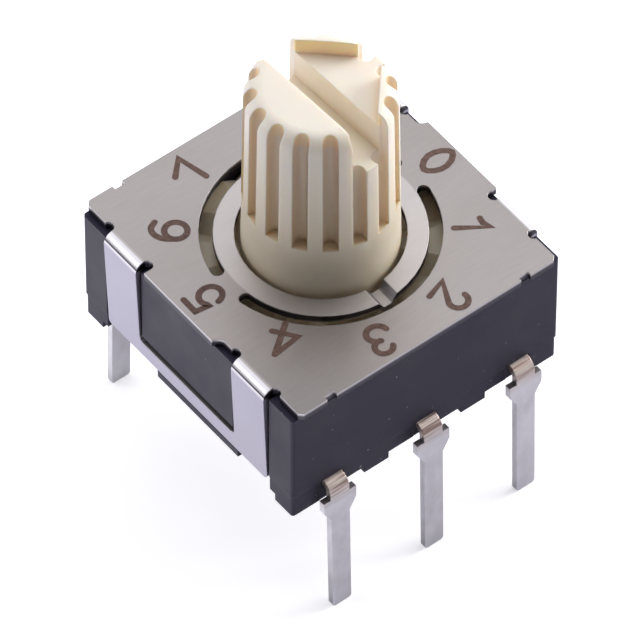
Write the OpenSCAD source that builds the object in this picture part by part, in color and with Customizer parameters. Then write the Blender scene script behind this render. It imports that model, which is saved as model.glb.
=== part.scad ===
// Ten-position rotary coded DIP switch, through-hole, 2.54 mm lead pitch.
// Origin: centre of the plane that the feet stand on. +X points to dial position 0.
// The lead rows run along X, one in front (-Y) and one behind (+Y). +Z is up.

/* [Body] */
// Width of the housing along the lead rows
body_x = 7.24; // [7:0.02:8]
// Width of the housing across the lead rows
body_y = 7.24; // [7:0.02:8]
// Radius of the upright corners of housing and base
body_corner_r = 0.08; // [0.05:0.01:0.3]
// Height of the flat top of the housing, under the cover
body_top = 3.25; // [3:0.05:3.8]
// Radius of the round chamber that the rotor turns in
chamber_r = 2.86; // [2.8:0.02:3]
// Bevel on the lower edge of the catches between the straps
catch_bevel = 0.12; // [0.05:0.01:0.2]

/* [Base] */
// Height of the seam between base and housing
seam_z = 0.64; // [0.58:0.01:0.7]
// Height of the base's underside above the board
standoff = 0.2; // [0.15:0.01:0.3]
// How far the base stays inside the housing's outline
base_inset = 0.02; // [0.01:0.01:0.1]
// Length of the corner feet along the lead rows
corner_foot_x = 0.78; // [0.5:0.02:0.8]
// Length of the corner feet across the lead rows
corner_foot_y = 0.6; // [0.4:0.05:0.7]
// Length of the two middle feet under each lead row
row_foot_len = 0.66; // [0.4:0.02:0.8]
// Distance of the middle feet from the centre line
row_foot_x = 1.32; // [1.2:0.02:1.5]
// Depth of the middle feet under the lead rows
row_foot_depth = 0.5; // [0.3:0.05:0.7]
// Length of the ledge under each cross bar
ledge_len = 2.8; // [1.5:0.1:3]
// How far the ledge stands off the middle
ledge_shift = 0.32; // [0:0.02:0.35]
// How far the ledge reaches into the base, past the recess
ledge_in = 0.2; // [0.1:0.02:0.4]
// Radius of the pivot post in the middle
pivot_r = 0.5; // [0.4:0.01:0.6]
// Height of the pivot post above the seam
pivot_h = 1.1; // [0.8:0.05:1.3]
// Height of the ring that centres the base in the chamber
ring_h = 0.3; // [0.2:0.05:0.4]
// Wall of the centring ring
ring_wall = 0.16; // [0.12:0.01:0.2]

/* [Cover] */
// Sheet thickness of the cover
sheet = 0.2; // [0.15:0.01:0.25]
// Length of the cover across the lead rows
cover_y = 7.42; // [7.34:0.02:8]
// Width of the cover's middle edge between the straps
cover_x = 7.36; // [7.26:0.02:8]
// Width of the cover at its four set-back corners
cover_corner_x = 6.94; // [6.7:0.02:7.1]
// Bevel on the cover's corners
cover_bevel = 0.1; // [0.05:0.01:0.15]
// Radius of the round hole for the knob
cover_hole_r = 1.85; // [1.8:0.01:1.9]
// Inner radius of the two curved slots
slot_in_r = 2.31; // [2.25:0.01:2.4]
// Width of the curved slots
slot_w = 0.3; // [0.2:0.01:0.35]
// Angle that each curved slot spans
slot_span = 157; // [120:1:160]
// Angle by which the spring arms dip towards the rotor
arm_dip = 2.5; // [0:0.1:3]
// Depth of the pressed detent rib under the arm
rib_depth = 0.2; // [0.1:0.01:0.22]
// Width of the pressed detent rib
rib_w = 0.5; // [0.4:0.02:0.6]
// Width of the small nicks in the long edges
nick_w = 0.26; // [0.15:0.01:0.35]
// Depth of the small nicks in the long edges
nick_d = 0.1; // [0.05:0.01:0.15]
// Distance of the nicks from the centre line
nick_x = 2.62; // [2.4:0.02:2.9]

/* [Straps] */
// Distance of each strap's middle from the centre line
strap_y = 2.2; // [2.1:0.02:2.3]
// Width of a strap
strap_w = 1.1; // [0.9:0.02:1.2]
// Distance between the outer faces of the straps at their bends
strap_span = 7.44; // [7.4:0.02:7.6]
// Outer radius of the strap bends
strap_bend_r = 0.28; // [0.24:0.01:0.35]
// Angle by which the straps lean in towards their ends
strap_lean = 2; // [0:0.25:2.5]
// Height of the lower edge of the cross bar
bar_bottom = 0.48; // [0.42:0.01:0.5]
// Height of the upper edge of the cross bar
bar_top = 0.9; // [0.85:0.01:1]
// Radius of the cross bar's lower corners
strap_round = 0.12; // [0.05:0.01:0.2]
// Width of the round relief cut beside each strap
relief_w = 0.26; // [0.2:0.01:0.3]
// Depth of the relief cut, measured in from the cover's corner edge
relief_d = 0.1; // [0.08:0.01:0.25]

/* [Knob and rotor] */
// Radius of the knob
knob_r = 1.72; // [1.6:0.01:1.76]
// Angle by which the knob narrows towards its top
knob_draft = 1; // [0:0.1:1.5]
// Height of the knob above the cover
knob_h = 4.76; // [4:0.02:6]
// Number of flutes round the knob
flutes = 16; // [12:1:18]
// Width of a flute
flute_w = 0.34; // [0.3:0.01:0.4]
// Depth of a flute
flute_d = 0.31; // [0.24:0.01:0.34]
// Height of the plain collar between the cover and the flutes
collar_h = 1.32; // [0.5:0.02:2]
// Radius of the knob's rounded top edge
knob_round = 0.4; // [0.05:0.01:0.5]
// Width of the screwdriver slot
driver_w = 0.84; // [0.6:0.02:0.9]
// Depth of the screwdriver slot
driver_d = 1.2; // [0.8:0.05:1.4]
// Depth of the arrow-shaped pocket
arrow_d = 0.42; // [0.2:0.02:0.5]
// Half width of the arrow-shaped pocket where it meets the slot
arrow_half_w = 1.32; // [1:0.02:1.35]
// Distance of the arrow's tip from the knob's axis
arrow_tip = 1.7; // [1.5:0.01:1.74]
// Thickness of the rotor's flange
flange_t = 1; // [0.8:0.05:1.1]
// Thickness of the carrier disc under the flange
carrier_t = 0.55; // [0.4:0.05:0.6]
// Depth of the detent notches in the flange
notch_d = 0.3; // [0.2:0.01:0.35]
// Number of switch positions
positions = 10; // [8:2:10]
// Play in the detent: how far the rotor stands turned from dial position 0
rest_turn = 2.5; // [0:0.5:4]

/* [Seal and contacts] */
// Diameter of the seal ring's section
seal_d = 0.4; // [0.3:0.02:0.42]
// Thickness of the coded contact disc
disc_t = 0.1; // [0.08:0.01:0.15]
// Inner radius of the coded contact disc
disc_in_r = 0.75; // [0.7:0.01:0.8]
// Width of the common track
common_track_w = 0.25; // [0.2:0.01:0.28]
// Width of each coded track
track_w = 0.2; // [0.18:0.01:0.22]
// Width of the closed ring between two tracks
track_rim = 0.08; // [0.06:0.01:0.1]

/* [Leads] */
// Pitch of the leads in a row
pitch = 2.54; // [2.48:0.01:2.6]
// Distance between the two lead rows
row_spacing = 7.62; // [7.56:0.02:7.8]
// Width of a lead
lead_w = 0.5; // [0.45:0.01:0.6]
// Thickness of the lead sheet
lead_t = 0.16; // [0.14:0.01:0.25]
// Depth of the lead tips below the board plane
lead_len = 3.4; // [2.5:0.05:4]
// Width across a lead's shoulders
shoulder_w = 0.87; // [0.8:0.01:0.95]
// Height of the top of the shoulders
shoulder_top = 0.2; // [0.1:0.01:0.25]
// Height at which the shoulders start to narrow
shoulder_low = -0.12; // [-0.2:0.01:0]
// Height at which a lead has its own width again
shoulder_end = -0.45; // [-0.6:0.01:-0.35]
// Outer radius of the bend in a lead
lead_bend_r = 0.3; // [0.25:0.01:0.4]
// Angle by which the rows splay outwards
lead_splay = 1.5; // [0:0.1:4]
// Bevel on the corners of a lead's tip
tip_bevel = 0.05; // [0.02:0.01:0.2]
// Width of the sprung contact fingers
finger_w = 0.2; // [0.16:0.01:0.22]
// Thickness of the sprung contact fingers
finger_t = 0.1; // [0.08:0.01:0.12]

/* [Fits] */
// Running clearance between turning and fixed parts
run_gap = 0.05; // [0.03:0.01:0.06]
// Clearance between parts that fit into each other
fit_gap = 0.03; // [0.02:0.01:0.05]
// Gap round a strap in its recess, and round a lead where it leaves the base
edge_gap = 0.07; // [0.04:0.01:0.1]

/* [Hidden] */
$fn = 48;
arm_lap = 0.1;
arm_set = 0.01;
far = 20;
cut = 0.5;

steel = [0.72, 0.71, 0.70];
black = [0.20, 0.20, 0.24];
ivory = [0.92, 0.88, 0.78];
tin = [0.70, 0.69, 0.71];
gold = [0.85, 0.68, 0.35];
rubber = [0.55, 0.20, 0.15];

// Heights, from the board plane up
cover_top = body_top + sheet;
knob_top = cover_top + knob_h;
arm_fold_y = slot_in_r * cos(slot_span / 2) + arm_lap;
rib_low = body_top - arm_set - (slot_in_r - arm_fold_y) * sin(arm_dip) - rib_depth;
flange_top = rib_low - 2 * run_gap;
flange_low = flange_top - flange_t;
carrier_low = flange_low - carrier_t;
disc_low = carrier_low - disc_t;
finger_top = disc_low - run_gap;
pivot_top = seam_z + pivot_h;
seal_z = flange_low + flange_t * 0.4;

// Radii that follow the chamber
flange_r = chamber_r - run_gap;
seal_r = chamber_r - fit_gap - seal_d / 2;
groove_w = seal_d + fit_gap;
step = 360 / positions;

// The contact disc: an inner common track and one coded track for each of the four bits
code_r = [for (k = [0:3]) disc_in_r + common_track_w + track_rim + k * (track_w + track_rim)];
disc_r = code_r[3] + track_w + track_rim;

// Where each coded lead stands, as [column, row], and where its finger touches the disc
lead_place = [[-1, -1], [1, 1], [-1, 1], [1, -1]];
touch_x = 0.38;
touch_y = [for (r = code_r) sqrt(pow(r + track_w / 2, 2) - pow(touch_x, 2))];
finger_root_r = 2.5;
common_r = disc_in_r + common_track_w / 2;
common_y = 0.15;
common_root_x = 2;

// The straps and the recess that each pair lies in
strap_edge = strap_y + strap_w / 2;
strap_inner = strap_y - strap_w / 2;
strap_bend_z = cover_top - strap_bend_r;
strap_panel = strap_bend_z - bar_bottom;
recess_x = strap_span / 2 - sheet - strap_panel * tan(strap_lean) - edge_gap;

// The leads bend down about this line
lead_bend_y = row_spacing / 2 + lead_t / 2 - lead_bend_r;
lead_bend_z = seam_z - lead_bend_r;

// A square plate with round upright corners
module rounded_block(x, y, r, low, high) {
    translate([0, 0, low]) linear_extrude(high - low) {
        square([x - 2 * r, y], center = true);
        square([x, y - 2 * r], center = true);
        for (sx = [-1, 1], sy = [-1, 1]) translate([sx * (x / 2 - r), sy * (y / 2 - r)]) circle(r);
    }
}

// A flat ring, or the part of one that spans an angle about a middle direction
module ring(inner, outer, low, high) {
    translate([0, 0, low]) difference() {
        cylinder(r = outer, h = high - low);
        translate([0, 0, -cut]) cylinder(r = inner, h = high - low + 2 * cut);
    }
}
module ring_sector(inner, outer, low, high, middle, span) {
    rotate([0, 0, middle - span / 2]) rotate_extrude(angle = span)
        translate([inner, low]) square([outer - inner, high - low]);
}

// Outline of a bent strip: a flat tail on top, a bend about the origin, and a straight drop
module bent_outline(tail, outer, thick, turn, drop) {
    translate([-tail, outer - thick]) square([tail, thick]);
    intersection() {
        difference() { circle(outer); circle(outer - thick); }
        polygon([[0, 0], [0, 2 * outer], [2 * outer, 2 * outer],
                 [2 * outer * sin(turn), 2 * outer * cos(turn)]]);
    }
    rotate(90 - turn) translate([outer - thick, -drop]) square([thick, drop]);
}
// The strip itself: its tail lies along -Y, and it drops on the +Y side
module bent_strip(width, tail, outer, thick, turn, drop) {
    rotate([90, 0, 90]) translate([0, 0, -width / 2]) linear_extrude(width)
        bent_outline(tail, outer, thick, turn, drop);
}

// Cover: a flat plate with two spring arms, and four straps joined in pairs by cross bars
module cover_outline() {
    relief_x = cover_corner_x / 2 - relief_d + relief_w / 2;
    difference() {
        union() {
            square([cover_x, 2 * strap_inner - relief_w], center = true);
            square([strap_span - 2 * strap_bend_r, 2 * strap_edge + relief_w], center = true);
            for (sy = [-1, 1]) translate([0, sy * (cover_y + 2 * strap_edge + relief_w) / 4])
                square([cover_corner_x, cover_y / 2 - strap_edge - relief_w / 2], center = true);
        }
        for (sx = [-1, 1], sy = [-1, 1]) {
            for (y = [strap_inner - relief_w / 2, strap_edge + relief_w / 2])
                translate([sx * relief_x, sy * y]) {
                    circle(relief_w / 2);
                    translate([sx * cut / 2, 0]) square([cut, relief_w], center = true);
                }
            translate([sx * nick_x, sy * cover_y / 2]) square([nick_w, 2 * nick_d], center = true);
            translate([sx * cover_corner_x / 2, sy * cover_y / 2]) rotate(45)
                square(cover_bevel * sqrt(2), center = true);
        }
    }
}
// A curved slot on the front side, with round ends
module slot_outline() {
    wide = far * sin(slot_span / 2);
    intersection() {
        difference() { circle(slot_in_r + slot_w); circle(slot_in_r); }
        polygon([[0, 0], [-wide, -far * cos(slot_span / 2)], [-wide, -far],
                 [wide, -far], [wide, -far * cos(slot_span / 2)]]);
    }
    for (end = [-1, 1]) rotate(end * slot_span / 2 - 90)
        translate([slot_in_r + slot_w / 2, 0]) circle(d = slot_w);
}
// A spring arm: half of the ring round the hole, folded down a little, with a rib pressed across it
module spring_arm() {
    crest = rib_w / 8;
    valley = crest + sheet / 5;
    half = [[far, 0], [rib_w / 2, 0], [crest, -rib_depth]];
    half_top = [[valley, sheet - rib_depth], [rib_w / 2, sheet], [far, sheet]];
    intersection() {
        ring(cover_hole_r, slot_in_r, 0, far);
        translate([0, -arm_fold_y, body_top - arm_set]) rotate([arm_dip, 0, 0])
            translate([0, arm_lap, 0]) rotate([90, 0, 0]) linear_extrude(far)
                polygon(concat(half, [for (k = [2:-1:0]) [-half[k][0], half[k][1]]],
                               [for (k = [2:-1:0]) [-half_top[k][0], half_top[k][1]]], half_top));
    }
}
module strap_pair() {
    round_y = strap_edge - strap_round;
    translate([-strap_span / 2 + strap_bend_r, 0, strap_bend_z]) {
        for (sy = [-1, 1]) translate([0, sy * strap_y, 0]) rotate([0, 0, 90])
            bent_strip(strap_w, strap_bend_r, strap_bend_r, sheet, 90 + strap_lean,
                       strap_panel - strap_round);
        rotate([0, -strap_lean, 0]) translate([-strap_bend_r, 0, -strap_panel]) {
            for (sy = [-1, 1]) translate([0, sy * round_y, strap_round]) rotate([0, 90, 0])
                cylinder(r = strap_round, h = sheet);
            translate([0, -round_y, 0]) cube([sheet, 2 * round_y, bar_top - bar_bottom]);
            translate([0, -strap_edge, strap_round])
                cube([sheet, 2 * strap_edge, bar_top - bar_bottom - strap_round]);
        }
    }
}
module cover() {
    color(steel) {
        translate([0, 0, body_top]) linear_extrude(sheet) difference() {
            cover_outline();
            circle(cover_hole_r);
            for (turn = [0, 180]) rotate(turn) {
                slot_outline();
                intersection() {
                    circle(slot_in_r + slot_w / 8);
                    translate([-far / 2, -arm_fold_y - far]) square(far);
                }
            }
        }
        for (turn = [0, 180]) rotate([0, 0, turn]) {
            spring_arm();
            strap_pair();
        }
    }
}

// Housing: a moulded frame round the chamber, with a recess and a catch for each pair of straps
module housing() {
    catch_low = bar_top + edge_gap;
    catch_y = strap_inner - edge_gap;
    color(black) difference() {
        rounded_block(body_x, body_y, body_corner_r, seam_z, body_top);
        translate([0, 0, seam_z - cut]) cylinder(r = chamber_r, h = far);
        for (turn = [0, 180]) rotate([0, 0, turn]) difference() {
            translate([recess_x, -strap_edge - edge_gap, seam_z - cut])
                cube([far, 2 * (strap_edge + edge_gap), far]);
            translate([recess_x - cut, 0, 0]) rotate([90, 0, 0]) translate([0, 0, -catch_y])
                linear_extrude(2 * catch_y) polygon([
                    [0, catch_low], [body_x / 2 - recess_x + cut - catch_bevel, catch_low],
                    [body_x / 2 - recess_x + cut, catch_low + catch_bevel],
                    [body_x / 2 - recess_x + cut, body_top + cut], [0, body_top + cut]]);
        }
    }
}

// Rotor: knob, flange and contact carrier, moulded in one
module knob_blank() {
    round_z = knob_top - knob_round;
    top_r = knob_r - (round_z - cover_top) * tan(knob_draft);
    rotate_extrude() {
        polygon([[0, flange_top - cut], [knob_r, flange_top - cut], [knob_r, cover_top],
                 [top_r, round_z], [top_r - knob_round, knob_top], [0, knob_top]]);
        translate([top_r - knob_round, round_z]) circle(knob_round);
    }
}
module flute() {
    translate([knob_r - flute_d + flute_w / 2, 0, cover_top + collar_h]) rotate([0, -knob_draft, 0]) {
        cylinder(d = flute_w, h = far);
        translate([0, -flute_w / 2, 0]) cube([far, flute_w, far]);
    }
}
module rotor() {
    color(ivory) rotate([0, 0, rest_turn]) difference() {
        union() {
            knob_blank();
            translate([0, 0, flange_low]) cylinder(r = flange_r, h = flange_t);
            translate([0, 0, carrier_low]) cylinder(r = disc_r, h = carrier_t + cut);
            translate([0, 0, disc_low]) cylinder(r = disc_in_r - fit_gap, h = disc_t + cut);
        }
        for (k = [0:flutes - 1]) rotate([0, 0, (k + 0.5) * 360 / flutes]) flute();
        for (k = [0:positions - 1]) rotate([0, 0, 90 + k * step])
            translate([knob_r, 0, flange_top]) rotate([90, 0, 90])
                linear_extrude(flange_r) polygon([[-rib_w * 0.8, cut], [-rib_w * 0.8, 0],
                    [0, -notch_d], [rib_w * 0.8, 0], [rib_w * 0.8, cut]]);
        translate([-driver_w / 2, -far / 2, knob_top - driver_d]) cube([driver_w, far, far]);
        translate([0, 0, knob_top - arrow_d]) linear_extrude(far)
            polygon([[0, -arrow_half_w], [driver_w / 2, -arrow_half_w], [arrow_tip, 0],
                     [driver_w / 2, arrow_half_w], [0, arrow_half_w]]);
        ring(seal_r - seal_d / 2 - fit_gap, far, seal_z - groove_w / 2, seal_z + groove_w / 2);
        translate([0, 0, disc_low - cut])
            cylinder(r = pivot_r + run_gap, h = pivot_top + 2 * run_gap - disc_low + cut);
    }
}

// Seal ring in the groove of the flange
module seal_ring() {
    color(rubber) rotate_extrude() translate([seal_r, seal_z]) circle(d = seal_d);
}

// Contact disc: each coded track is cut away where its bit of the position's number is 0
function bit_of(track, place) = floor((place % positions) / pow(2, track)) % 2;
function clear_run(track, place, run = 0) =
    run < positions && bit_of(track, place) == 0 ? clear_run(track, place + 1, run + 1) : run;
module code_disc() {
    color(gold) rotate([0, 0, rest_turn]) difference() {
        ring(disc_in_r, disc_r, disc_low, carrier_low);
        for (k = [0:3], p = [0:positions - 1])
            if (bit_of(k, p) == 0 && bit_of(k, p + positions - 1) == 1) {
                run = clear_run(k, p);
                touch_angle = atan2(lead_place[k][1] * touch_y[k], lead_place[k][0] * touch_x);
                ring_sector(code_r[k], code_r[k] + track_w, disc_low - cut, carrier_low + cut,
                            touch_angle + (p + (run - 1) / 2) * step, run * step);
            }
    }
}

// Base: the moulded plate that the leads are set in, with feet, ledges, pivot post and centring ring
module base() {
    base_x = body_x - 2 * base_inset;
    base_y = body_y - 2 * base_inset;
    ring_out = chamber_r - fit_gap;
    color(black) difference() {
        union() {
            difference() {
                rounded_block(base_x, base_y, body_corner_r, 0, seam_z);
                translate([0, 0, standoff / 2 - cut / 2])
                    cube([base_x - 2 * corner_foot_x, far, standoff + cut], center = true);
                translate([0, 0, standoff / 2 - cut / 2])
                    cube([far, base_y - 2 * corner_foot_y, standoff + cut], center = true);
                for (turn = [0, 180]) rotate([0, 0, turn])
                    translate([recess_x, -strap_edge - edge_gap, -cut])
                        cube([far, 2 * (strap_edge + edge_gap), far]);
            }
            for (sx = [-1, 1], sy = [-1, 1])
                translate([sx * row_foot_x, sy * (base_y - row_foot_depth) / 2, seam_z / 2])
                    cube([row_foot_len, row_foot_depth, seam_z], center = true);
            for (turn = [0, 180]) rotate([0, 0, turn])
                translate([recess_x - ledge_in, ledge_shift - ledge_len / 2, standoff])
                    cube([base_x / 2 - recess_x + ledge_in, ledge_len, bar_bottom - edge_gap - standoff]);
            translate([0, 0, seam_z - cut / 2]) cylinder(r = pivot_r, h = pivot_h + cut / 2);
            ring(ring_out - ring_wall, ring_out, seam_z - lead_t / 2, seam_z + ring_h);
        }
        for (sx = [-1:1], sy = [-1, 1])
            translate([sx * pitch - lead_w / 2 - edge_gap, sy > 0 ? lead_bend_y : -lead_bend_y - far, -cut])
                cube([lead_w + 2 * edge_gap, far, seam_z + 2 * cut]);
        terminal_common();
        for (k = [0:3]) terminal(k);
    }
}

// Leads: a flat strip set in the base, a bend, a shouldered leg, and a sprung finger inside
module strip(x1, y1, x2, y2) {
    translate([x1, y1, seam_z - lead_t]) cube([x2 - x1, y2 - y1, lead_t]);
}
module leg(tail) {
    half = lead_w / 2;
    side = [[shoulder_w / 2, shoulder_top], [shoulder_w / 2, shoulder_low], [half, shoulder_end],
            [half, tip_bevel - lead_len], [half - tip_bevel, -lead_len]];
    translate([0, lead_bend_y, lead_bend_z]) {
        bent_strip(lead_w, tail, lead_bend_r, lead_t, 90 - lead_splay, lead_bend_z - shoulder_end);
        rotate([lead_splay, 0, 0]) translate([0, lead_bend_r, -lead_bend_z]) rotate([90, 0, 0])
            linear_extrude(lead_t)
                polygon(concat(side, [for (k = [len(side) - 1:-1:0]) [-side[k][0], side[k][1]]]));
    }
}
module finger(root_x, tip_x, y) {
    half = finger_w / 2;
    translate([0, y + half, 0]) rotate([90, 0, 0]) linear_extrude(finger_w) polygon([
        [root_x + lead_t, seam_z - finger_t], [root_x + lead_t, seam_z], [root_x, seam_z],
        [tip_x + half, finger_top], [tip_x - half, finger_top],
        [tip_x - half, finger_top - finger_t], [tip_x + half, finger_top - finger_t],
        [root_x, seam_z - finger_t]]);
}
module terminal(k) {
    root_x = sqrt(pow(finger_root_r, 2) - pow(touch_y[k], 2));
    half = lead_w / 2;
    mirror([lead_place[k][0] < 0 ? 1 : 0, 0, 0]) mirror([0, lead_place[k][1] < 0 ? 1 : 0, 0]) {
        translate([pitch, 0, 0]) leg(lead_bend_y - touch_y[k] + half);
        strip(root_x, touch_y[k] - half, pitch + half, touch_y[k] + half);
        finger(root_x, touch_x, touch_y[k]);
    }
}
module terminal_common() {
    half = lead_w / 2;
    for (turn = [0, 180]) rotate([0, 0, turn]) {
        leg(lead_bend_y + half);
        strip(0, -half, finger_root_r, 0);
        strip(common_root_x, -half, finger_root_r, common_y + finger_w / 2);
        finger(common_root_x, sqrt(pow(common_r, 2) - pow(common_y, 2)), common_y);
    }
}

cover();
housing();
rotor();
seal_ring();
code_disc();
base();
color(tin) terminal_common();
color(tin) terminal(0);  // terminal_1
color(tin) terminal(1);  // terminal_2
color(tin) terminal(2);  // terminal_4
color(tin) terminal(3);  // terminal_8
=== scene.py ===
import math

import bmesh
import bpy
from mathutils import Matrix, Vector


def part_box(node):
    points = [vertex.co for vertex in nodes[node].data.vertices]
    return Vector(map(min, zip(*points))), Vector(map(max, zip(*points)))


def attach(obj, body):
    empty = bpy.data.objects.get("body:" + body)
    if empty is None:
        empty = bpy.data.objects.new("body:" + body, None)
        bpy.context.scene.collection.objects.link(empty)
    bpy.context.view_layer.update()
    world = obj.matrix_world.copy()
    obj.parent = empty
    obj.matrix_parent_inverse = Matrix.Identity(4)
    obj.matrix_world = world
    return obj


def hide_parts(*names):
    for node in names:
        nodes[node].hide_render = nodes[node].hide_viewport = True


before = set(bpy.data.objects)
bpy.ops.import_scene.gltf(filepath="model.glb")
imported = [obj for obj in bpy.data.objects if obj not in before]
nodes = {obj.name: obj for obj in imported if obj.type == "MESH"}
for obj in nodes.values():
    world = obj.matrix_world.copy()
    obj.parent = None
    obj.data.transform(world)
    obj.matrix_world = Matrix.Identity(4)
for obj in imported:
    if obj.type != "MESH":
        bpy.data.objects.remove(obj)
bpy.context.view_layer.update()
MM = 0.001


# Camera: a long lens from the front left and well above, as the photograph was taken.
# The scene is shown in plain view colours.
camera_azimuth = math.radians(-38.41)
camera_elevation = math.radians(51.0)
camera_roll = math.radians(0.17)
camera_distance = 215.5 * MM
aim_right, aim_up = -0.012 * MM, 0.261 * MM
camera_data = bpy.data.cameras.new("photo_camera")
camera_data.lens = 562
camera_data.sensor_width = 36
camera_data.clip_start = 10 * MM
camera_data.clip_end = 2000 * MM
camera = bpy.data.objects.new("photo_camera", camera_data)
bpy.context.scene.collection.objects.link(camera)
back = Vector((math.sin(camera_azimuth) * math.cos(camera_elevation),
               -math.cos(camera_azimuth) * math.cos(camera_elevation),
               math.sin(camera_elevation)))
right = Vector((math.cos(camera_azimuth), math.sin(camera_azimuth), 0))
up = back.cross(right)
stand = Matrix.Translation(aim_right * right + aim_up * up + camera_distance * back)
roll = Matrix.Rotation(camera_roll, 4, back)
camera.matrix_world = stand @ roll @ Matrix((right, up, back)).transposed().to_4x4()
bpy.context.scene.camera = camera
bpy.context.scene.view_settings.view_transform = "Standard"


# Studio: a pale floor under the lead tips, a white surround and soft lamps above and to the sides.
# The side that the camera stands on is dark, as in the photograph, where it shades the knob's front.
floor_z = -3.40 * MM
floor_size = 400 * MM
floor_tone = (0.80, 0.79, 0.85)
floor_seen = 0.52
# In what the object mirrors, the floor carries a painted glow of added light, painted dull before it and
# under it as a painted shade where its own shade lies
away_from_shade = (-0.99, 0.15, 0)
shade_edge = (2.0 * MM, 5.5 * MM)
painted_shade_mirrored, painted_lift_mirrored = 0.06, 0.72

# The surround is dark towards this azimuth, a little above level, and white elsewhere
dark_azimuth = math.radians(-49)
dark_level, dark_rise = 0.97, 0.24
dark_edge = (0.1, 0.85)
dark_share = 0.04
surround_tone = (0.97, 0.97, 1.0)
surround_light, surround_mirrored = 0.80, 1.0


def put(tree, socket, value):
    """Links an input to another node's socket, or sets it to a number or a colour."""
    if isinstance(value, bpy.types.NodeSocket):
        tree.links.new(value, socket)
    elif socket.type == "RGBA":
        socket.default_value = (*value, 1)
    else:
        socket.default_value = value


def node(tree, kind, **settings):
    """A new shader node with its settings. A key that names an input puts the value there."""
    made = tree.nodes.new(kind)
    for key, value in settings.items():
        if hasattr(made, key):
            setattr(made, key, value)
        else:
            put(tree, made.inputs[key.replace("_", " ")], value)
    return made


def material(name):
    """A new node material, with its tree and its Principled shader."""
    mat = bpy.data.materials.new(name)
    mat.use_nodes = True
    tree = mat.node_tree
    return mat, tree, next(n for n in tree.nodes if n.type == "BSDF_PRINCIPLED")


def finish(tree, shader, **inputs):
    """Puts a value in each of the shader's inputs that a key names."""
    for key, value in inputs.items():
        put(tree, shader.inputs[key.replace("_", " ")], value)


def reckon(tree, operation, first, *others):
    """One number from a few, by a Math node's operation."""
    for other in others:
        made = node(tree, "ShaderNodeMath", operation=operation)
        put(tree, made.inputs[0], first)
        put(tree, made.inputs[1], other)
        first = made.outputs[0]
    return first


def along(tree, vector, direction):
    """How far a vector goes in a direction."""
    made = node(tree, "ShaderNodeVectorMath", operation="DOT_PRODUCT")
    put(tree, made.inputs[0], vector)
    put(tree, made.inputs[1], direction)
    return made.outputs["Value"]


def fade(tree, value, edge, low=0.0, high=1.0, curve="LINEAR"):
    """Goes from low to high while a value goes from the edge's first number to its second."""
    return node(tree, "ShaderNodeMapRange", interpolation_type=curve, Value=value, From_Min=edge[0],
                From_Max=edge[1], To_Min=low, To_Max=high).outputs["Result"]


def object_position(tree, scale=(1, 1, 1)):
    """Object coordinates, stretched by scale, for masks and for the pattern nodes."""
    place = node(tree, "ShaderNodeTexCoord").outputs["Object"]
    return node(tree, "ShaderNodeMapping", Scale=scale, Vector=place).outputs["Vector"]


bpy.ops.mesh.primitive_plane_add(size=floor_size, location=(0, 0, floor_z))
floor = bpy.context.object
floor.name = "floor"
floor_paper, tree, shader = material("floor_paper")
path = node(tree, "ShaderNodeLightPath").outputs
seen = reckon(tree, "MULTIPLY", path["Is Camera Ray"], floor_seen)
# Painted shade: the floor's added light in reflections is lowered before and under the object
unshaded = along(tree, object_position(tree), away_from_shade)
mirrored = fade(tree, unshaded, shade_edge, painted_shade_mirrored, painted_lift_mirrored, "SMOOTHSTEP")
mirrored = reckon(tree, "MULTIPLY", path["Is Glossy Ray"], mirrored)
finish(tree, shader, Base_Color=floor_tone, Roughness=0.9, Specular_IOR_Level=0.1, Emission_Color=(1, 1, 1),
       Emission_Strength=reckon(tree, "MAXIMUM", seen, mirrored))
floor.data.materials.append(floor_paper)

world = bpy.data.worlds.new("studio")
bpy.context.scene.world = world
world.use_nodes = True
tree = world.node_tree
tree.nodes.clear()
towards = node(tree, "ShaderNodeTexCoord").outputs["Generated"]
dark_way = (math.sin(dark_azimuth) * dark_level, -math.cos(dark_azimuth) * dark_level, dark_rise)
shade = fade(tree, along(tree, towards, dark_way), dark_edge, 1.0, dark_share, "SMOOTHSTEP")
path = node(tree, "ShaderNodeLightPath").outputs
light = fade(tree, path["Is Glossy Ray"], (0, 1), surround_light, surround_mirrored)
light = reckon(tree, "MULTIPLY", light, shade)
lit = node(tree, "ShaderNodeBackground", Color=surround_tone, Strength=light)
white = node(tree, "ShaderNodeBackground", Color=(1, 1, 1), Strength=1.0)
choose = node(tree, "ShaderNodeMixShader")
put(tree, choose.inputs[0], reckon(tree, "MAXIMUM", path["Is Camera Ray"], path["Is Transmission Ray"]))
put(tree, choose.inputs[1], lit.outputs[0])
put(tree, choose.inputs[2], white.outputs[0])
node(tree, "ShaderNodeOutputWorld", Surface=choose.outputs[0])


def softbox(name, azimuth, elevation, distance, width, height, watts, colour=(1, 1, 1)):
    """A soft rectangular lamp that faces the object. Its angles are in degrees and its sizes in mm."""
    lamp = bpy.data.lights.new(name, "AREA")
    lamp.shape = "RECTANGLE"
    lamp.size = width * MM
    lamp.size_y = height * MM
    lamp.energy = watts
    lamp.color = colour
    holder = bpy.data.objects.new(name, lamp)
    bpy.context.scene.collection.objects.link(holder)
    turn, rise = math.radians(azimuth), math.radians(elevation)
    away = Vector((math.sin(turn) * math.cos(rise), -math.cos(turn) * math.cos(rise), math.sin(rise)))
    holder.location = away * distance * MM
    holder.rotation_mode = "QUATERNION"
    holder.rotation_quaternion = away.to_track_quat("Z", "Y")


softbox("lamp_top", azimuth=150, elevation=70, distance=90, width=74, height=64, watts=0.0125)
softbox("lamp_left", azimuth=-131, elevation=24, distance=90, width=64, height=42, watts=0.021,
        colour=(0.97, 0.96, 1.0))
softbox("lamp_right", azimuth=80, elevation=22, distance=100, width=60, height=60, watts=0.090,
        colour=(1.0, 0.985, 0.95))


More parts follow.
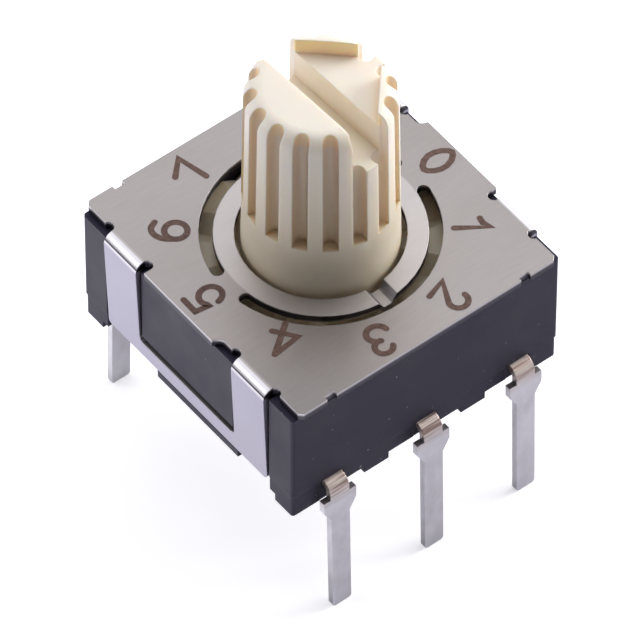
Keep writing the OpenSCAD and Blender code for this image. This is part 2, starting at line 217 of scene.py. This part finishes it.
# Cover: half-hard stainless sheet, blanked, pierced and folded down over the housing in one piece.
# Its rolled surface is satin, with a faint grain along the lead rows and a few dull patches.
plate_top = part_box("cover")[1].z
rolled_tones = [(0.34, (0.315, 0.288, 0.280)), (0.50, (0.335, 0.308, 0.302)), (0.66, (0.350, 0.325, 0.322))]
grain_tones = [(0.3, 0.30), (0.7, 0.60)]
grain_share = 0.06
satin = [(0.3, 0.42), (0.7, 0.50)]
painted_corner_shade_tone, painted_arm_sheen_tone = (0.25, 0.235, 0.235), (0.47, 0.44, 0.435)
# Painted reflection and highlight: the upright straps are tinted lavender for the floor they mirror, and
# the bends are painted bright
painted_strap_reflection_tone, painted_fold_highlight_tone = (0.40, 0.382, 0.462), (0.75, 0.735, 0.77)
# A sheared edge has a dull torn band and, over it, a bright burnished one. These tones also hold painted
# shade, dark below, and a painted highlight along the top
painted_shade_and_highlight_cut_tones = [(0.0, (0.06, 0.055, 0.07)), (0.55, (0.08, 0.075, 0.09)), (0.75, (0.40, 0.38, 0.40)),
                 (1.0, (0.62, 0.60, 0.62))]

# Where each tone starts and where it is full: places from the knob's axis, and how level a face is
# Painted shade: the plate is painted darker towards its front corner
front_corner = (-0.7071, -0.7071, 0)
corner_shade_edge = (3.2 * MM, 4.8 * MM)
# Painted sheen: inside this radius the tilted spring arms are painted lighter, for what they reflect
arm_sheen_edge = (2.31 * MM, 2.28 * MM)
strap_edge, strap_tilt = (3.55 * MM, 3.60 * MM), (0.75, 0.45)
fold_edge, fold_tilts = (3.38 * MM, 3.42 * MM), ((0.99, 0.93), (0.10, 0.30))
sheared_edge, sheared_height = (3.705 * MM, 3.695 * MM), (3.2 * MM, 3.24 * MM)
sheet_height = (3.25 * MM, plate_top)


def noise(tree, vector, detail=3.0, roughness=0.55, distortion=0.0):
    """A noise pattern whose grain is as fine as its vector is stretched."""
    return node(tree, "ShaderNodeTexNoise", Vector=vector, Scale=1.0, Detail=detail, Roughness=roughness,
                Distortion=distortion).outputs["Fac"]


def ramp(tree, value, stops):
    """A colour ramp over stops of (position, colour or grey)."""
    made = node(tree, "ShaderNodeValToRGB", Fac=value)
    while len(made.color_ramp.elements) < len(stops):
        made.color_ramp.elements.new(0.5)
    for element, (position, colour) in zip(made.color_ramp.elements, stops):
        element.position = position
        grey = isinstance(colour, (int, float))
        element.color = (colour, colour, colour, 1) if grey else (*colour, 1)
    return made.outputs["Color"]


def mix(tree, amount, first, second):
    """Two colours mixed. Each of the three is a socket or a plain value."""
    made = node(tree, "ShaderNodeMix", data_type="RGBA")
    put(tree, made.inputs[0], amount)
    put(tree, made.inputs[6], first)
    put(tree, made.inputs[7], second)
    return made.outputs[2]


def relief(tree, shader, layers, edge=0.0):
    """Bumps from (height socket, strength, depth in mm), over edges softened by a small radius in mm."""
    normal = None
    if edge:
        normal = node(tree, "ShaderNodeBevel", samples=6, Radius=edge * MM).outputs["Normal"]
    for height, strength, depth in layers:
        bump = node(tree, "ShaderNodeBump", Height=height, Strength=strength, Distance=depth * MM)
        if normal:
            put(tree, bump.inputs["Normal"], normal)
        normal = bump.outputs["Normal"]
    put(tree, shader.inputs["Normal"], normal)


def finish_nodes(mat, *names):
    """Gives the carried-over CAD nodes this finish."""
    for name in names:
        for holder in nodes[name].material_slots:
            holder.material = mat


def reach(tree, vector, direction):
    """How far a vector goes along a direction, either way."""
    made = node(tree, "ShaderNodeMath", operation="ABSOLUTE")
    put(tree, made.inputs[0], along(tree, vector, direction))
    return made.outputs[0]


def from_axis(tree):
    """How far a point is from the knob's axis."""
    made = node(tree, "ShaderNodeVectorMath", operation="LENGTH")
    put(tree, made.inputs[0], object_position(tree, (1, 1, 0)))
    return made.outputs["Value"]


cover_steel, tree, shader = material("cover_steel")
grain = noise(tree, object_position(tree, (1500, 14000, 9000)), 4)
patches = noise(tree, object_position(tree, (300, 380, 300)), 3, 0.5, 0.6)
fine = noise(tree, object_position(tree, (9000, 9000, 9000)), 2)
position = object_position(tree)
height, out = along(tree, position, (0, 0, 1)), reach(tree, position, (1, 0, 0))
level = reach(tree, node(tree, "ShaderNodeNewGeometry").outputs["True Normal"], (0, 0, 1))

steel = ramp(tree, patches, rolled_tones)
# Painted shade towards the front corner
steel = mix(tree, fade(tree, along(tree, position, front_corner), corner_shade_edge), steel, painted_corner_shade_tone)
# Painted sheen on the tilted arms around the knob
steel = mix(tree, fade(tree, from_axis(tree), arm_sheen_edge), steel, painted_arm_sheen_tone)
steel = mix(tree, grain_share, steel, ramp(tree, grain, grain_tones))
upright = fade(tree, level, strap_tilt)
# Painted reflection: the upright faces of the straps are tinted lavender
strap = reckon(tree, "MULTIPLY", upright, fade(tree, out, strap_edge))
steel = mix(tree, strap, steel, painted_strap_reflection_tone)
# Painted highlight: the strap bends are painted bright
fold = reckon(tree, "MULTIPLY", fade(tree, level, fold_tilts[0]), fade(tree, level, fold_tilts[1]),
              fade(tree, out, fold_edge))
steel = mix(tree, fold, steel, painted_fold_highlight_tone)
# Painted shade and highlight on the cut edges of the sheet, dark below and bright along the top
sheared = reckon(tree, "MULTIPLY", upright, fade(tree, out, sheared_edge),
                 fade(tree, height, sheared_height))
steel = mix(tree, sheared, steel, ramp(tree, fade(tree, height, sheet_height), painted_shade_and_highlight_cut_tones))
finish(tree, shader, Base_Color=steel, Metallic=1.0, Roughness=ramp(tree, patches, satin))
relief(tree, shader, [(grain, 0.10, 0.004), (fine, 0.12, 0.002)], edge=0.03)
finish_nodes(cover_steel, "cover")


def arc(x, y, rx, ry, start, end, steps=14):
    """Points along part of an ellipse, from start to end in degrees."""
    angles = [math.radians(start + (end - start) * k / steps) for k in range(steps + 1)]
    return [(x + rx * math.cos(a), y + ry * math.sin(a)) for a in angles]


def prism(bm, outline, low, high, place):
    """A solid of an outline in mm between two heights, put in its place."""
    foot = [bm.verts.new((x * MM, y * MM, low * MM)) for x, y in outline]
    raised = bmesh.ops.extrude_face_region(bm, geom=[bm.faces.new(foot)])["geom"]
    top = [v for v in raised if isinstance(v, bmesh.types.BMVert)]
    bmesh.ops.translate(bm, vec=(0, 0, (high - low) * MM), verts=top)
    bmesh.ops.transform(bm, matrix=place, verts=foot + top)
    bmesh.ops.recalc_face_normals(bm, faces=bm.faces)


def merged_copy(name):
    """A copy of a CAD node with its points merged. Each corner keeps the shading of the node."""
    source = nodes[name].data
    bm = bmesh.new()
    bm.from_mesh(source)
    kept = bm.loops.layers.float_vector.new("kept_normal")
    given = iter(source.corner_normals)
    for face in bm.faces:
        face.smooth = True
        for corner in face.loops:
            corner[kept] = next(given).vector
    bmesh.ops.remove_doubles(bm, verts=bm.verts, dist=0.0002 * MM)
    return bm


def finished_object(name, bm):
    """A new object of a bmesh."""
    mesh = bpy.data.meshes.new(name)
    bm.to_mesh(mesh)
    bm.free()
    made = bpy.data.objects.new(name, mesh)
    bpy.context.scene.collection.objects.link(made)
    return made


def stand_in(name, body, bm, mat, changes=()):
    """The finished piece for a CAD node: its changed copy, after solids are cut from it or joined on."""
    piece = finished_object(name + "_finished", bm)
    for operation, solid in changes:
        tool = finished_object("tool", solid)
        change = piece.modifiers.new("change", "BOOLEAN")
        change.operation = operation
        change.solver = "EXACT"
        change.object = tool
        mesh = bpy.data.meshes.new_from_object(piece.evaluated_get(bpy.context.evaluated_depsgraph_get()))
        piece.modifiers.clear()
        piece.data = mesh
        bpy.data.objects.remove(tool)
    mesh = piece.data
    # A face that a change has made has no kept shading, and is flat
    kept = mesh.attributes["kept_normal"].data
    normals = [None] * len(mesh.loops)
    for face in mesh.polygons:
        face.use_smooth = True
        for k in face.loop_indices:
            normal = Vector(kept[k].vector)
            normals[k] = normal.normalized() if normal.length > 0.5 else face.normal.copy()
    mesh.attributes.remove(mesh.attributes["kept_normal"])
    mesh.normals_split_custom_set(normals)
    mesh.materials.clear()
    mesh.materials.append(mat)
    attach(piece, body)
    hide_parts(name)
    return piece


# Each middle edge has a round-ended recess beside one strap. The sizes are in mm, seen from above.
recess_wall_x, recess_start_y, recess_end_y, recess_r, outside_x = -3.48, -1.55, -0.95, 0.20, -3.80
recess = [(outside_x, recess_start_y), (recess_wall_x, recess_start_y)]
recess += arc(recess_wall_x - recess_r, recess_end_y - recess_r, recess_r, recess_r, 0, 90, 9)
recess += [(outside_x, recess_end_y)]

# The straps run into the cross bar in round corners. The sizes are in mm, on the strap's leaning plane,
# from the lower end of the strap's inner face.
strap_inner_y, bar_top, corner_r, sunk, sill_foot = 1.65, 0.44, 0.15, 0.05, 0.30
sill_y, sill_top = strap_inner_y + sunk, bar_top + corner_r
sill = [(-sill_y, sill_foot), (sill_y, sill_foot), (sill_y, sill_top)]
sill += arc(strap_inner_y - corner_r, sill_top, corner_r, corner_r, 0, -90, 9)
sill += arc(-strap_inner_y + corner_r, sill_top, corner_r, corner_r, -90, -180, 9)
sill += [(-sill_y, sill_top)]
fold_middle, strap_end = Vector((-3.44, 0, 3.17)) * MM, Vector((-0.28, 0, -2.69)) * MM
strap_lean = math.radians(-2)
outline_across = Matrix(((0, 0, 1, 0), (1, 0, 0, 0), (0, 1, 0, 0), (0, 0, 0, 1)))
strap_plane = (Matrix.Translation(fold_middle) @ Matrix.Rotation(strap_lean, 4, "Y")
               @ Matrix.Translation(strap_end) @ outline_across)

# The cuts go right through the sheet at the plate, and the corners stay a hair within it at the straps
under_plate, over_plate = 3.2, 3.5
sheet, hair = 0.2, 0.001
recesses, sills = bmesh.new(), bmesh.new()
for half_turn in (0, math.pi):
    around = Matrix.Rotation(half_turn, 4, "Z")
    prism(recesses, recess, under_plate, over_plate, around)
    prism(sills, sill, hair, sheet - hair, around @ strap_plane)

# The spring arms leave the plate in a plain fold, without the solid's step
fold_y, arm_top = 0.5605 * MM, 3.4402 * MM
plate_inside = 4.2 * MM
bm = merged_copy("cover")
for v in bm.verts:
    at_fold = abs(abs(v.co.y) - fold_y) < 0.003 * MM and v.co.length < plate_inside
    if at_fold and abs(v.co.z - plate_top) < 0.001 * MM:
        v.co.z = arm_top
bmesh.ops.remove_doubles(bm, verts=[v for v in bm.verts if abs(v.co.z - arm_top) < 0.0004 * MM],
                         dist=0.0008 * MM)
cover = stand_in("cover", "switch_body", bm, cover_steel, [("DIFFERENCE", recesses), ("UNION", sills)])


# Dial marks: the numbers of the ten positions, burnt brown into the steel by a marking laser.
# Each is a row of strokes of one width, read from outside the cover, on the face of the sheet.
mark_stroke = 0.14 * MM
mark_height = 0.78 * MM
mark_width = 0.5 * MM
mark_depth = 0.004 * MM
mark_step = 0.001 * MM
burnt_tones = [(0.3, (0.07, 0.036, 0.028)), (0.7, (0.14, 0.08, 0.065))]

# Where each number stands: its angle from +X in degrees and its distance from the knob's axis in mm
mark_places = {0: (-0.5, 3.17), 1: (-35.5, 3.23), 2: (-71.6, 3.31), 3: (-105.9, 3.25), 4: (-143.1, 3.11),
               5: (179.0, 3.08), 6: (142.0, 3.23), 7: (112.4, 3.26), 8: (72.0, 3.2), 9: (36.0, 3.2)}

# Strokes in a cell that is 1 wide and 1 high, from its lower left corner
mark_strokes = {
    0: [[(0.5, 1.0), (0.66, 0.95), (0.85, 0.8), (0.97, 0.58), (0.96, 0.38), (0.86, 0.2), (0.68, 0.05),
         (0.52, 0.0), (0.34, 0.05), (0.14, 0.2), (0.03, 0.4), (0.05, 0.6), (0.16, 0.8), (0.34, 0.95),
         (0.5, 1.0)]],
    1: [[(0.14, 0.72), (0.42, 0.80), (0.64, 1.0), (0.64, 0.0)]],
    2: [arc(0.5, 0.72, 0.43, 0.28, 172, -30, 16) + [(0.0, 0.0), (1.0, 0.0)]],
    3: [arc(0.46, 0.76, 0.40, 0.24, 172, -88, 16), arc(0.46, 0.27, 0.48, 0.27, 92, -165, 16)],
    4: [[(0.64, -0.08), (0.64, 1.04)], [(0.64, 1.04), (-0.06, 0.28), (1.08, 0.27)]],
    5: [[(0.98, 1.0), (0.16, 1.0), (0.08, 0.58)] + arc(0.48, 0.33, 0.47, 0.34, 130, -172, 20)],
    6: [arc(0.5, 0.32, 0.47, 0.32, 0, 360, 24), arc(0.62, 0.5, 0.59, 0.5, 190, 82, 12) + [(0.97, 0.9)]],
    7: [[(0.0, 0.72), (0.98, 0.98), (0.72, 0.0)]],
    8: [arc(0.5, 0.76, 0.40, 0.24, -90, 270, 22), arc(0.5, 0.26, 0.48, 0.26, 90, 450, 24)],
    9: [arc(0.5, 0.68, 0.47, 0.32, 180, 540, 24), arc(0.38, 0.5, 0.59, 0.5, 10, -98, 12) + [(0.03, 0.1)]],
}

dial_mark, tree, shader = material("dial_mark")
burn = noise(tree, object_position(tree, (9000, 9000, 9000)))
finish(tree, shader, Base_Color=ramp(tree, burn, burnt_tones), Metallic=0.25, Roughness=0.55)
relief(tree, shader, [(burn, 0.3, 0.004)])


def stroke(bm, points, width, high):
    """One stroke as a flat ribbon at a height, mitred at its turns, with round ends unless it is closed."""
    points = [Vector(p) for p in points]
    closed = (points[0] - points[-1]).length < width * 0.01
    if closed:
        points = points[:-1]
    count = len(points)
    sides = []
    for k, p in enumerate(points):
        before = points[k - 1] if closed or k else p - (points[1] - p)
        after = points[(k + 1) % count] if closed or k < count - 1 else p + (p - points[k - 1])
        ahead, behind = (after - p).normalized(), (p - before).normalized()
        normal = Vector((-(ahead + behind).y, (ahead + behind).x))
        normal = normal.normalized() if normal.length > 0.3 else Vector((-ahead.y, ahead.x))
        stretch = min(1.6, 1 / max(0.4, normal.dot(Vector((-ahead.y, ahead.x)))))
        sides.append((p + normal * width / 2 * stretch, p - normal * width / 2 * stretch))
    rows = [[bm.verts.new((*s, high)) for s in pair] for pair in sides]
    for k in range(count if closed else count - 1):
        a, b = rows[k], rows[(k + 1) % count]
        bm.faces.new((a[0], a[1], b[1], b[0]))
    if closed:
        return
    for pair, end, inner in ((rows[0], 0, 1), (rows[-1][::-1], count - 1, count - 2)):
        out = (points[end] - points[inner]).normalized()
        side = Vector((-out.y, out.x))
        bows = [math.pi * step / 6 for step in range(1, 6)]
        cap = [points[end] + width / 2 * (math.cos(t) * side + math.sin(t) * out) for t in bows]
        bm.faces.new((pair[1], *[bm.verts.new((*p, high)) for p in cap], pair[0]))


for number, strokes in mark_strokes.items():
    bm = bmesh.new()
    angle, radius = mark_places[number]
    for layer, points in enumerate(strokes):
        cell = [((x - 0.5) * mark_width, (y - 0.5) * mark_height) for x, y in points]
        stroke(bm, cell, mark_stroke, mark_depth + layer * mark_step)
    bmesh.ops.recalc_face_normals(bm, faces=bm.faces)
    for face in bm.faces:
        if face.normal.z < 0:
            face.normal_flip()
    bmesh.ops.translate(bm, vec=(0, radius * MM, plate_top), verts=bm.verts)
    bmesh.ops.rotate(bm, cent=(0, 0, 0), matrix=Matrix.Rotation(math.radians(angle - 90), 3, "Z"),
                     verts=bm.verts)
    mark = finished_object(f"mark_{number}", bm)
    mark.data.materials.append(dial_mark)
    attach(mark, "switch_body")


# Housing and base: black glass-filled polyester, moulded with a fine eroded satin surface.
# A few pale specks of glass and dust show on its faces.
black_tones = [(0.3, (0.009, 0.008, 0.016)), (0.7, (0.014, 0.012, 0.024))]
speck_tone = (0.42, 0.40, 0.46)
speck_share = [(0.77, 0.0), (0.82, 0.5)]
eroded = [(0.3, 0.42), (0.7, 0.55)]
housing_plastic, tree, shader = material("housing_plastic")
cloud = noise(tree, object_position(tree, (700, 700, 700)), 4)
pore = noise(tree, object_position(tree, (11000, 11000, 11000)))
speck = noise(tree, object_position(tree, (6500, 6500, 6500)), 1)
black = mix(tree, ramp(tree, speck, speck_share), ramp(tree, cloud, black_tones), speck_tone)
# Painted reflection: the housing's reflection is tinted lavender and dimmed, for the floor it mirrors
finish(tree, shader, Base_Color=black, Roughness=ramp(tree, cloud, eroded),
       Specular_Tint=(0.70, 0.68, 1.0), Specular_IOR_Level=0.36)
relief(tree, shader, [(pore, 0.25, 0.006), (cloud, 0.1, 0.02)], edge=0.035)
finish_nodes(housing_plastic, "housing", "base")

# The base's corner feet run on a little, to behind the first and the last lead of each row
foot_end, foot_longer, foot_inner_y, foot_top = 2.82 * MM, 0.22 * MM, 2.99 * MM, 0.21 * MM
bm = merged_copy("base")
for v in bm.verts:
    if abs(abs(v.co.x) - foot_end) < 0.003 * MM and abs(v.co.y) > foot_inner_y and v.co.z < foot_top:
        v.co.x -= math.copysign(foot_longer, v.co.x)
base = stand_in("base", "switch_body", bm, housing_plastic)


# Rotor: knob, flange and contact carrier, moulded in one in ivory polyester.
# The plastic is a little translucent. Its recesses are painted warmer and darker than its faces, a painted
# shade.
flow_tones = [(0.3, (0.84, 0.78, 0.68)), (0.7, (0.88, 0.83, 0.75))]
# Painted shade: the ivory is painted darker towards the knob's foot, and warmer, partly the plastic's own
# tint
painted_shade_height, tint_and_shade_share = (7.7 * MM, 4.3 * MM), 0.8
tint_and_painted_shade_tones = [(0.0, (0.86, 0.805, 0.715)), (0.3, (0.85, 0.785, 0.66)), (0.72, (0.80, 0.72, 0.57)),
              (1.0, (0.70, 0.61, 0.44))]
hollow_shade_reach, painted_hollow_shade_tone = 0.5 * MM, (0.71, 0.575, 0.40)
open_share = [(0.35, 0.0), (0.8, 1.0)]
# The arrow's end wall is painted golden, a painted glow for light that comes through the thin rim
painted_glow_tone, wall_tilt = (0.98, 0.80, 0.52), (0.5, 0.2)
wall_height, wall_edge = (7.78 * MM, 7.86 * MM), (1.52 * MM, 1.46 * MM)

rotor_plastic, tree, shader = material("rotor_plastic")
flow = noise(tree, object_position(tree, (500, 500, 160)))
skin = noise(tree, object_position(tree, (8000, 8000, 8000)))
height = along(tree, object_position(tree), (0, 0, 1))
level = reach(tree, node(tree, "ShaderNodeNewGeometry").outputs["True Normal"], (0, 0, 1))
# Painted shade and tint by height, darker and warmer lower down
warm = ramp(tree, fade(tree, height, painted_shade_height), tint_and_painted_shade_tones)
ivory = mix(tree, tint_and_shade_share, ramp(tree, flow, flow_tones), warm)
# Painted glow on the arrow's end wall
wall = reckon(tree, "MULTIPLY", fade(tree, level, wall_tilt), fade(tree, height, wall_height),
              fade(tree, from_axis(tree), wall_edge))
ivory = mix(tree, wall, ivory, painted_glow_tone)
# Painted shade: recesses are painted tan by an ambient occlusion mask
hollow = node(tree, "ShaderNodeAmbientOcclusion", samples=8, Distance=hollow_shade_reach)
ivory = mix(tree, ramp(tree, hollow.outputs["AO"], open_share), painted_hollow_shade_tone, ivory)
finish(tree, shader, Base_Color=ivory, Roughness=0.38, Subsurface_Weight=0.35,
       Subsurface_Radius=(1.0, 0.55, 0.25), Subsurface_Scale=0.35 * MM)
relief(tree, shader, [(skin, 0.12, 0.004)], edge=0.05)
finish_nodes(rotor_plastic, "rotor")

# The mould runs the arrow's tip out at the rim. Two slivers, thinner than a hair, are taken down there
arrow_floor, rim_x, tip_low_y, tip_high_y = 7.79 * MM, 1.52 * MM, -0.27 * MM, 0.40 * MM
bm = merged_copy("rotor")
kept = bm.loops.layers.float_vector["kept_normal"]
for v in bm.verts:
    if v.co.x > rim_x and tip_low_y < v.co.y < tip_high_y and v.co.z > arrow_floor + 0.002 * MM:
        v.co.z = arrow_floor
        for corner in v.link_loops:
            corner[kept] = (0, 0, 1)
bmesh.ops.dissolve_degenerate(bm, dist=0.00001 * MM, edges=bm.edges)
rotor = stand_in("rotor", "turning_rotor", bm, rotor_plastic)


# Seal ring: a round cord of red-brown silicone rubber, moulded as a ring.
# It sits in the groove of the rotor's flange and rubs on the wall of the housing's chamber.
rubber_tones = [(0.3, (0.40, 0.10, 0.06)), (0.7, (0.48, 0.15, 0.10))]
seal_rubber, tree, shader = material("seal_rubber")
bloom = noise(tree, object_position(tree, (1500, 1500, 1500)))
finish(tree, shader, Base_Color=ramp(tree, bloom, rubber_tones), Roughness=0.6)
relief(tree, shader, [(bloom, 0.1, 0.01)])
finish_nodes(seal_rubber, "seal_ring")


# Contact disc: thin copper alloy, gold plated, cut out with the code of each position.
# It is fixed under the rotor's carrier and turns with it over the sprung fingers of the leads.
gold_tones = [(0.3, (0.80, 0.58, 0.25)), (0.7, (0.90, 0.70, 0.36))]
contact_gold, tree, shader = material("contact_gold")
wipe = noise(tree, object_position(tree, (2500, 2500, 2500)))
finish(tree, shader, Base_Color=ramp(tree, wipe, gold_tones), Metallic=1.0, Roughness=0.28)
relief(tree, shader, [(wipe, 0.1, 0.004)])
finish_nodes(contact_gold, "code_disc")


# Leads: copper alloy strip, stamped, tin plated and bent down at the foot of the housing.
# The plating is stretched thin over the bend, where warm copper and fine forming lines show.
bend_height = (-0.10 * MM, 0.64 * MM)
copper_share = [(0.15, 0.0), (0.75, 0.85)]
dull_plating = [(0.3, 0.36), (0.7, 0.50)]
tin_tones = [(0.30, (0.54, 0.53, 0.565)), (0.55, (0.64, 0.63, 0.67)), (0.75, (0.70, 0.69, 0.73))]
copper_tones = [(0.38, (0.22, 0.13, 0.10)), (0.5, (0.48, 0.38, 0.33)), (0.7, (0.64, 0.56, 0.50))]
lead_tin, tree, shader = material("lead_tin")
mottle = noise(tree, object_position(tree, (2200, 2200, 1400)), 4)
grit = noise(tree, object_position(tree, (12000, 12000, 12000)))
lines = noise(tree, object_position(tree, (900, 16000, 16000)), 2)
bend = fade(tree, along(tree, object_position(tree), (0, 0, 1)), bend_height)
copper = ramp(tree, lines, copper_tones)
plating = mix(tree, ramp(tree, bend, copper_share), ramp(tree, mottle, tin_tones), copper)
finish(tree, shader, Base_Color=plating, Metallic=1.0, Roughness=ramp(tree, mottle, dull_plating))
relief(tree, shader, [(mottle, 0.15, 0.01), (lines, 0.15, 0.01), (grit, 0.2, 0.004)], edge=0.025)
finish_nodes(lead_tin, "terminal_common", "terminal_1", "terminal_2", "terminal_4", "terminal_8")
